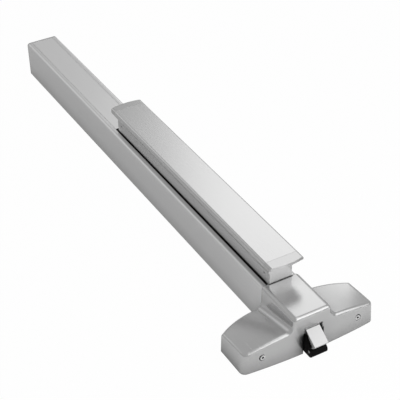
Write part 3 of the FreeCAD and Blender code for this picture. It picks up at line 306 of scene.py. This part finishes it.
def add_surface(tree, shader, mask, rough, swing, height, depth, edge=CRISP_EDGE):
    """Roughness that swings with the mask, and raised detail over a slightly softened edge."""
    plug(tree, between(tree, mask, rough - swing, rough + swing), shader.inputs["Roughness"])
    soft = add_node(tree, "ShaderNodeBevel", {"samples": RAY_SAMPLES}, Radius=edge)
    raised = add_node(
        tree,
        "ShaderNodeBump",
        Strength=1.0,
        Distance=depth,
        Height=height,
        Normal=soft.outputs["Normal"],
    )
    plug(tree, raised.outputs["Normal"], shader.inputs["Normal"])


def satin_metal(name, grain, level, rough, edge=CRISP_EDGE, recess=None):
    """Brushed satin metal: level is its grey, and recess the share of it left in narrow places as
    painted shade.
    """
    material, tree, shader = new_material(name, Metallic=1.0)
    brushed = use_group(tree, GRAIN, Line_stretch=grain, Cloud_size=CLOUD_SIZE)
    lines = brushed.outputs["Lines"]
    mask = add_by_share(tree, lines, LINES_SHARE, brushed.outputs["Cloud"])
    colour = colour_between(tree, mask, level - SATIN_SPREAD, level + SATIN_SPREAD)
    if recess is not None:
        colour = shaded_in_recesses(tree, colour, recess)
    plug(tree, colour, shader.inputs["Base Color"])
    add_surface(tree, shader, mask, rough, SATIN_ROUGH_SWING, lines, SATIN_DEPTH, edge)
    return material


def mottled_material(name, level, spread, rough, size, depth, **values):
    """A finish with an even mottle and no direction."""
    material, tree, shader = new_material(name, **values)
    mask = use_group(tree, SPECKLE, Speckle_size=size).outputs["Speckle"]
    colour = colour_between(tree, mask, level - spread, level + spread)
    plug(tree, colour, shader.inputs["Base Color"])
    add_surface(tree, shader, mask, rough, MOTTLED_ROUGH_SWING, mask, depth)
    return material


def plated_metal(name, level, rough, size, depth=PLATED_DEPTH, spread=PLATED_SPREAD):
    """Zinc plate or ground steel."""
    return mottled_material(name, level, spread, rough, size, depth, Metallic=1.0)


def black_moulding(name, level, rough, size, depth, gloss):
    """Moulded plastic or rubber."""
    spread = level * MOULDED_SPREAD
    return mottled_material(
        name, level, spread, rough, size, depth, Metallic=0.0, Specular_IOR_Level=gloss
    )


def make_materials():
    """The finishes by their slot, or by the node or the piece that differs from its slot."""
    return {
        "rail_finish": satin_metal("satin_rail", DRAWN_GRAIN, level=0.83, rough=0.32, recess=0.6),
        "filler_plate": satin_metal("satin_filler", DRAWN_GRAIN, level=0.92, rough=0.30),
        "bar_finish": satin_metal("satin_bar", DRAWN_GRAIN, level=0.67, rough=0.26, recess=0.03),
        "cap_finish": satin_metal("satin_cap", CAST_GRAIN, level=0.61, rough=0.26),
        "cover_finish": satin_metal(
            "satin_cover", COVER_GRAIN, level=0.65, rough=0.25, edge=COVER_EDGE, recess=0.42
        ),
        "bolt_steel": satin_metal("bolt_steel", BOLT_GRAIN, level=0.60, rough=0.25),
        "snubber_black": black_moulding(
            "snubber_black", level=0.003, rough=0.5, size=1200.0, depth=0.00003, gloss=0.06
        ),
        "stop_rubber": black_moulding(
            "stop_rubber", level=0.02, rough=0.7, size=900.0, depth=0.00005, gloss=0.5
        ),
        "plated_steel": plated_metal(
            "zinc_plate", level=0.42, rough=0.38, size=700.0, depth=0.00002
        ),
        "pin_steel": plated_metal("ground_pin", level=0.5, rough=0.25, size=2500.0),
        "screw_steel": plated_metal("screw_steel", level=0.62, rough=0.3, size=1800.0),
        "spring_steel": plated_metal("spring_wire", level=0.3, rough=0.3, size=1500.0),
        # Brighter metal than the screw steel: a painted highlight on the cover screws' rings
        "highlight_ring": plated_metal(
            "highlight_ring", level=0.85, rough=0.2, size=2500.0, spread=0.05
        ),
        # Nearly black: painted shade for the dark holes of the bar cap screws, also used on the
        # dark discs behind the cover screw rings
        "bar_cap_screws": plated_metal(
            "screw_socket_shade", level=0.03, rough=0.45, size=1800.0, spread=0.01
        ),
    }


def finish_cad_nodes(materials):
    for part in frame["record"]["subparts"]:
        node = nodes[part["node"]]
        node.data.materials.clear()
        node.data.materials.append(materials.get(part["node"], materials[part["material_slot"]]))


# Modelled pieces, in metres

SHARP_ANGLE = math.radians(40.0)
SMOOTH_ANGLE = math.radians(35.0)
NEARLY_FLAT = math.radians(2.0)
SAME_POINT = 0.000002
FACING = 0.9  # a face looks along an axis when its normal reaches this far along it
ROUNDING_STEPS = 3
DISC_SIDES = 48
DISC_FACING_X = (0.0, math.pi / 2, 0.0)
DISC_FACING_Y = (math.pi / 2, 0.0, 0.0)

LIP_CENTRE = (0.0357, 0.0, 0.0407)
LIP_SIZE = (0.0041, 0.0224, 0.002)
LIP_TURN_IN = (-0.0008, 0.0, 0.0009)
LIP_ROUNDING = 0.0003

COVER_SCREW_FRONT = 0.0352  # the front of the CAD heads
COVER_SCREW_SIDE = 0.072  # from the middle to either screw
COVER_SCREW_HEIGHT = 0.020
# A dark disc behind each cover screw's ring: painted shade for the socket and the gap round the
# head
SHADE_DISC_RADIUS = 0.0046
SHADE_DISC_THICK = 0.0017
SHADE_DISC_SUNK = 0.0007
SHADE_DISC_RIM = 0.0027
SHADE_DISC_HOLLOW = 0.0001
SHADE_DISC_ROUNDING = 0.00008
RING_RADIUS = 0.0037
RING_THICK = 0.0004
RING_PROUD = 0.0002
RING_WALL = 0.0020
RING_ROUNDING = 0.0001

SNUBBER_ROUNDING = 0.0011
SNUBBER_SOFT_EDGE = 0.0001
CHEEK_SIDE = 0.0105  # the cheeks lie further out than this
CHEEK_FOOT = 0.0165  # and their slopes higher than this
CHEEK_SLOPE = 0.3  # and their slopes' normals reach further forward and up than this
CHEEK_SHIFT = (0.0018, 0.0, 0.0033)
PIN_CENTRE = (0.0492, -0.0122, 0.0118)
PIN_RADIUS = 0.0018
PIN_THICK = 0.0006
PIN_WALL = 0.0010
PIN_ROUNDING = 0.00015


def start_piece(name):
    """The object just added, named, with its place and turn moved into its mesh."""
    piece = bpy.context.object
    piece.name = name
    piece.data.name = name
    bpy.ops.object.transform_apply(location=True, rotation=True, scale=True)
    return piece


def take_nothing():
    """Leave edit mode and deselect everything."""
    if bpy.context.mode != "OBJECT":
        bpy.ops.object.mode_set(mode="OBJECT")
    bpy.ops.object.select_all(action="DESELECT")


def take_only(piece):
    """Leave edit mode and select this piece alone."""
    take_nothing()
    piece.select_set(True)
    bpy.context.view_layer.objects.active = piece


def edit_faces(piece, wanted):
    """Go into edit mode with only the faces selected whose normal and centre are wanted."""
    take_only(piece)
    bpy.ops.object.mode_set(mode="EDIT")
    bpy.ops.mesh.select_mode(type="FACE")
    bpy.ops.mesh.select_all(action="DESELECT")
    bpy.ops.object.mode_set(mode="OBJECT")
    for face in piece.data.polygons:
        face.select = wanted(face.normal, face.center)
    bpy.ops.object.mode_set(mode="EDIT")


def copy_beside(piece, name, step):
    """A copy of a modelled piece, with a mesh of its own, moved over by that step."""
    take_only(piece)
    bpy.ops.object.duplicate(linked=False)
    bpy.ops.transform.translate(value=step)
    return start_piece(name)


def merged_copy(node, name):
    """A copy of a CAD node with its loose triangles merged, left in edit mode."""
    take_only(nodes[node])
    bpy.ops.object.duplicate(linked=False)
    bpy.ops.object.parent_clear(type="CLEAR_KEEP_TRANSFORM")
    piece = start_piece(name)
    edit_faces(piece, lambda normal, centre: True)
    bpy.ops.mesh.remove_doubles(threshold=SAME_POINT)
    return piece


def finish_piece(piece, body, material, soft_edge=0.0):
    """Round the piece's edges, shade it and say what it rides on."""
    take_only(piece)
    if soft_edge:
        rounding = piece.modifiers.new("soft_edges", "BEVEL")
        rounding.width = soft_edge
        rounding.segments = ROUNDING_STEPS
        rounding.limit_method = "ANGLE"
        rounding.angle_limit = SHARP_ANGLE
        bpy.ops.object.modifier_apply(modifier=rounding.name)
    bpy.ops.object.mode_set(mode="EDIT")
    bpy.ops.mesh.select_all(action="SELECT")
    bpy.ops.mesh.normals_make_consistent(inside=False)
    bpy.ops.object.mode_set(mode="OBJECT")
    bpy.ops.object.shade_smooth_by_angle(angle=SMOOTH_ANGLE)
    piece.data.materials.clear()
    piece.data.materials.append(material)
    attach(piece, body)


def model_slot_lip(material):
    """The turned-in lip over the bolt, just behind the cover's front wall."""
    take_nothing()
    bpy.ops.mesh.primitive_cube_add(size=1.0, location=LIP_CENTRE, scale=LIP_SIZE)
    lip = start_piece("slot_lip")
    edit_faces(lip, lambda normal, centre: normal.x < -FACING)
    bpy.ops.mesh.extrude_region_move(TRANSFORM_OT_translate={"value": LIP_TURN_IN})
    finish_piece(lip, "housing", material, LIP_ROUNDING)


def add_disc(name, centre, turn, radius, thick):
    """A plain disc, from which a seat, a ring or a pin is shaped."""
    take_nothing()
    bpy.ops.mesh.primitive_cylinder_add(
        vertices=DISC_SIDES,
        radius=radius,
        depth=thick,
        end_fill_type="NGON",
        location=centre,
        rotation=turn,
    )
    return start_piece(name)


def bore_disc(disc, is_end, wall):
    """Inset both ends of a disc and bridge them, so that a hole goes through."""
    edit_faces(disc, is_end)
    bpy.ops.mesh.inset(thickness=wall)
    bpy.ops.mesh.bridge_edge_loops()


def model_screw_shade_disc(name):
    """A dark disc behind a cover screw's ring, painted shade for the socket and the gap round the
    head, with a little hollow where the socket is.
    """
    centre = (COVER_SCREW_FRONT - SHADE_DISC_SUNK, -COVER_SCREW_SIDE, COVER_SCREW_HEIGHT)
    shade_disc = add_disc(name, centre, DISC_FACING_X, SHADE_DISC_RADIUS, SHADE_DISC_THICK)
    edit_faces(shade_disc, lambda normal, centre: normal.x > FACING)
    bpy.ops.mesh.inset(thickness=SHADE_DISC_RIM)
    bpy.ops.transform.translate(value=(-SHADE_DISC_HOLLOW, 0.0, 0.0))
    return shade_disc


def model_screw_ring(name):
    """The ring of a cover screw's head, in brighter metal than the screw steel as a painted
    highlight.
    """
    centre = (COVER_SCREW_FRONT + RING_PROUD, -COVER_SCREW_SIDE, COVER_SCREW_HEIGHT)
    ring = add_disc(name, centre, DISC_FACING_X, RING_RADIUS, RING_THICK)
    bore_disc(ring, lambda normal, centre: abs(normal.x) > FACING, RING_WALL)
    return ring


def model_cover_screw_faces(shade_material, ring_material):
    """What shows of the two cover screws, a ring with a painted highlight over a disc of painted
    shade: modelled on the left and copied to the right.
    """
    to_right = (0.0, 2.0 * COVER_SCREW_SIDE, 0.0)
    left_shade_disc = model_screw_shade_disc("cover_screw_shade_left")
    left_ring = model_screw_ring("cover_screw_ring_left")
    right_shade_disc = copy_beside(left_shade_disc, "cover_screw_shade_right", to_right)
    right_ring = copy_beside(left_ring, "cover_screw_ring_right", to_right)
    for shade_disc in (left_shade_disc, right_shade_disc):
        finish_piece(shade_disc, "housing", shade_material, SHADE_DISC_ROUNDING)
    for ring in (left_ring, right_ring):
        finish_piece(ring, "housing", ring_material, RING_ROUNDING)


def is_cheek_slope(normal, centre):
    """Whether a face is the slope on top of one of the snubber's cheeks, beside the bolt."""
    slopes_forward = min(normal.x, normal.z) > CHEEK_SLOPE
    return slopes_forward and abs(centre.y) > CHEEK_SIDE and centre.z > CHEEK_FOOT


def model_snubber(material):
    """The black snubber with its nose and cheeks rounded, from a merged copy of the CAD one."""
    snubber = merged_copy("deadlatch_snubber", "rounded_snubber")
    bpy.ops.mesh.dissolve_limited(angle_limit=NEARLY_FLAT)
    edit_faces(snubber, is_cheek_slope)
    bpy.ops.transform.translate(value=CHEEK_SHIFT)
    bpy.ops.mesh.select_mode(type="EDGE")
    bpy.ops.mesh.select_all(action="DESELECT")
    bpy.ops.mesh.edges_select_sharp(sharpness=SHARP_ANGLE)
    bpy.ops.mesh.bevel(offset=SNUBBER_ROUNDING, segments=ROUNDING_STEPS, clamp_overlap=True)
    finish_piece(snubber, "snubber", material, SNUBBER_SOFT_EDGE)
    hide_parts("deadlatch_snubber")


def model_snubber_pin(material):
    """The hollow pin that shows on the snubber's left side."""
    pin = add_disc("snubber_pin", PIN_CENTRE, DISC_FACING_Y, PIN_RADIUS, PIN_THICK)
    bore_disc(pin, lambda normal, centre: abs(normal.y) > FACING, PIN_WALL)
    finish_piece(pin, "snubber", material, PIN_ROUNDING)


def model_springs(material):
    """The two springs, from merged copies, which ride on the housing."""
    for node, joint in (("return_spring", "rod_slide"), ("snubber_spring", "snubber_slide")):
        spring = merged_copy(node, node + "_coil")
        bpy.ops.mesh.tris_convert_to_quads()
        finish_piece(spring, "housing", material)
        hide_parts(node)
        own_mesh(spring)


# Floor and backdrop

FLOOR_WIDTH = 16.0
FLOOR_GAP = 0.0002
FLOOR_TONE = 0.55
FLOOR_SEEN_WHITE = 0.985
FLOOR_MIRRORED_WHITE = 0.245
SKY_SEEN_WHITE = 1.0
SKY_MIRRORED_WHITE = 0.49
FILL_STRENGTH = 0.31


def backdrop_share(tree, seen, mirrored, otherwise):
    """How much white a ray meets: seen by the camera, mirrored in a gloss or glass, or other."""
    path = add_node(tree, "ShaderNodeLightPath").outputs
    gloss = math_node(tree, "MAXIMUM", path["Is Glossy Ray"], path["Is Transmission Ray"])
    share = math_node(tree, "MULTIPLY_ADD", gloss, mirrored - otherwise, otherwise)
    return math_node(tree, "MULTIPLY_ADD", path["Is Camera Ray"], seen - otherwise, share)


def make_floor_material():
    """Plain matt grey for the light, which the camera and the metal see as white."""
    material = bpy.data.materials.new("pale_floor")
    material.use_nodes = True
    tree = material.node_tree
    tree.nodes.clear()
    matt = add_node(tree, "ShaderNodeBsdfDiffuse", Color=tone(FLOOR_TONE))
    white = add_node(tree, "ShaderNodeEmission", Color=tone(1.0), Strength=1.0)
    share = backdrop_share(tree, FLOOR_SEEN_WHITE, FLOOR_MIRRORED_WHITE, 0.0)
    mix = add_node(tree, "ShaderNodeMixShader", Fac=share)
    plug(tree, matt.outputs[0], mix.inputs[1])
    plug(tree, white.outputs[0], mix.inputs[2])
    add_node(tree, "ShaderNodeOutputMaterial", Surface=mix.outputs[0])
    return material


def make_floor():
    take_nothing()
    height = cad_bounds[0][2] - FLOOR_GAP
    bpy.ops.mesh.primitive_plane_add(size=FLOOR_WIDTH, location=(0.0, 0.0, height))
    floor = bpy.context.object
    floor.name = "floor"
    floor.data.materials.append(make_floor_material())


def light_world():
    world = bpy.data.worlds.new("studio")
    world.use_nodes = True
    tree = world.node_tree
    sky = tree.nodes["Background"]
    sky.inputs["Color"].default_value = tone(1.0)
    strength = backdrop_share(tree, SKY_SEEN_WHITE, SKY_MIRRORED_WHITE, FILL_STRENGTH)
    plug(tree, strength, sky.inputs["Strength"])
    bpy.context.scene.world = world


# Lamps

PANEL_DISTANCE = 3.0
FLOOR_LAMP_PLACE = (0.55, 0.2, 0.6)
FLOOR_LAMP_WIDTH = 0.5
FLOOR_LAMP_ENERGY = 5.8


def add_soft_lamp(name, width, height, energy):
    """A rectangular lamp that the camera doesn't see."""
    data = bpy.data.lights.new(name, "AREA")
    data.shape = "RECTANGLE"
    data.size = width
    data.size_y = height
    data.energy = energy
    lamp = bpy.data.objects.new(name, data)
    lamp.visible_camera = False
    bpy.context.scene.collection.objects.link(lamp)
    return lamp


def add_panel(name, azimuth, elevation, width, height, brightness):
    """A soft panel that faces the device; brightness is what a mirror would show of it."""
    panel = add_soft_lamp(name, width, height, brightness * math.pi * width * height)
    turn, rise = math.radians(azimuth), math.radians(elevation)
    flat = math.cos(rise)
    away = Vector((math.cos(turn) * flat, math.sin(turn) * flat, math.sin(rise)))
    panel.location = away * PANEL_DISTANCE
    panel.rotation_euler = away.to_track_quat("Z", "Y").to_euler()


def light_panels():
    add_panel("back_panel", azimuth=146.0, elevation=34.0, width=0.9, height=1.6, brightness=0.85)
    add_panel("front_panel", azimuth=32.0, elevation=38.0, width=3.4, height=2.0, brightness=1.15)
    add_panel("side_panel", azimuth=-155.0, elevation=28.0, width=1.2, height=1.0, brightness=0.35)
    add_panel("top_panel", azimuth=60.0, elevation=75.0, width=1.6, height=1.6, brightness=0.7)


def light_front_floor():
    """A soft lamp over the floor before the head, which no metal mirrors."""
    lamp = add_soft_lamp("floor_lamp", FLOOR_LAMP_WIDTH, FLOOR_LAMP_WIDTH, FLOOR_LAMP_ENERGY)
    lamp.location = FLOOR_LAMP_PLACE
    lamp.visible_glossy = False


place_camera()
materials = make_materials()
finish_cad_nodes(materials)
model_slot_lip(materials["cover_finish"])
model_cover_screw_faces(materials["bar_cap_screws"], materials["highlight_ring"])
model_snubber(materials["snubber_black"])
model_snubber_pin(materials["pin_steel"])
model_springs(materials["spring_steel"])
make_floor()
light_world()
light_panels()
light_front_floor()
bpy.context.scene.view_settings.view_transform = "Standard"
